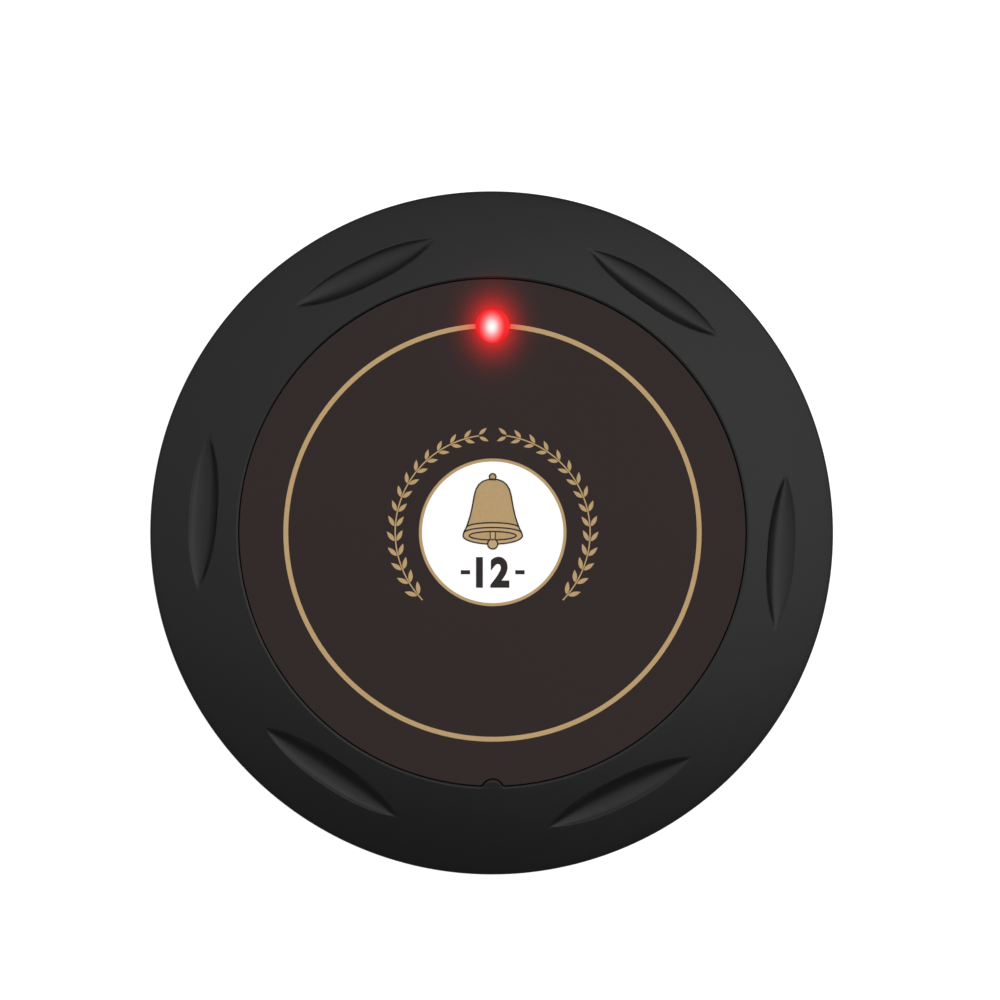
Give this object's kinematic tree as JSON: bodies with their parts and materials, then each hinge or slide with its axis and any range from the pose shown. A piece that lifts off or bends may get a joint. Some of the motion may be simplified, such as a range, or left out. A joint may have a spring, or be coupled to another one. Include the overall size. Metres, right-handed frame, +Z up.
{
  "type": "table call button",
  "caption": "Round black wireless table call button: a press plate with an indicator lamp in a finger-grip housing that twists on to a base cover.",
  "frame": {"origin": "centre of the adhesive pad's underside, on the table", "axes": "+Z up through the button, +Y from the centre towards the indicator lamp"},
  "size_m": [0.06, 0.06, 0.0174],
  "materials": {
    "housing_plastic": "fine matte moulded black",
    "cover_plastic": "fine matte moulded black",
    "button_plastic": "matte moulded black",
    "label_film": "matte dark brown printed film",
    "lens_red": "clear red light guide, lit",
    "lamp_red": "red epoxy lamp body",
    "foam_tape": "grey foam adhesive tape",
    "silicone": "red-brown silicone rubber",
    "soft_ring": "black foam rubber",
    "board_green": "green solder mask on glass-fibre board",
    "steel_plated": "nickel-plated spring steel",
    "steel_screw": "zinc-plated steel",
    "battery_sleeve": "dark blue printed sleeve, plain",
    "holder_plastic": "black glass-filled plastic",
    "switch_plastic": "black moulded plastic",
    "chip_plastic": "black moulding compound",
    "part_ceramic": "tan ceramic",
    "copper_wire": "enamelled copper wire"
  },
  "bodies": {
    "base": {"adhesive_pad": "foam_tape", "base_cover": "cover_plastic"},
    "seal": {"seal_ring": "silicone"},
    "housing": {"top_housing": "housing_plastic", "circuit_board": "board_green", "board_screws": "steel_screw", "battery_holder": "holder_plastic", "battery": "battery_sleeve", "positive_contact": "steel_plated", "negative_contact": "steel_plated", "contact_spring": "steel_plated", "switch_base": "switch_plastic", "switch_frame": "steel_plated", "switch_dome": "steel_plated", "switch_terminals": "steel_plated", "lamp": "lamp_red", "lamp_leads": "steel_plated", "encoder_chip": "chip_plastic", "chip_leads": "steel_plated", "resonator_can": "steel_plated", "antenna_coil": "copper_wire", "chip_resistors": "part_ceramic", "chip_capacitors": "part_ceramic", "return_ring": "soft_ring"},
    "button": {"button_cap": "button_plastic", "face_label": "label_film", "lamp_lens": "lens_red"},
    "plunger": {"switch_plunger": "switch_plastic"}
  },
  "joints": [
    {"name": "cover_twist", "type": "hinge", "parent": "base", "child": "seal", "pos_m": [0, 0, 0.0039], "axis": [0, 0, 1], "range_deg": [-40, 0]},
    {"name": "cover_lift", "type": "slide", "parent": "seal", "child": "housing", "axis": [0, 0, 1], "range_m": [0, 0.04]},
    {"name": "button_press", "type": "slide", "parent": "housing", "child": "button", "axis": [0, 0, -1], "range_m": [0, 0.0005], "stiffness_N_per_m": 1500, "springref_m": -0.0004, "deforming": ["return_ring"]},
    {"name": "switch_travel", "type": "slide", "parent": "housing", "child": "plunger", "axis": [0, 0, -1], "range_m": [0, 0.0003], "deforming": ["switch_dome"]}
  ],
  "couplings": [
    {"joint": "switch_travel", "follows": "button_press", "ratio": 0.6}
  ]
}
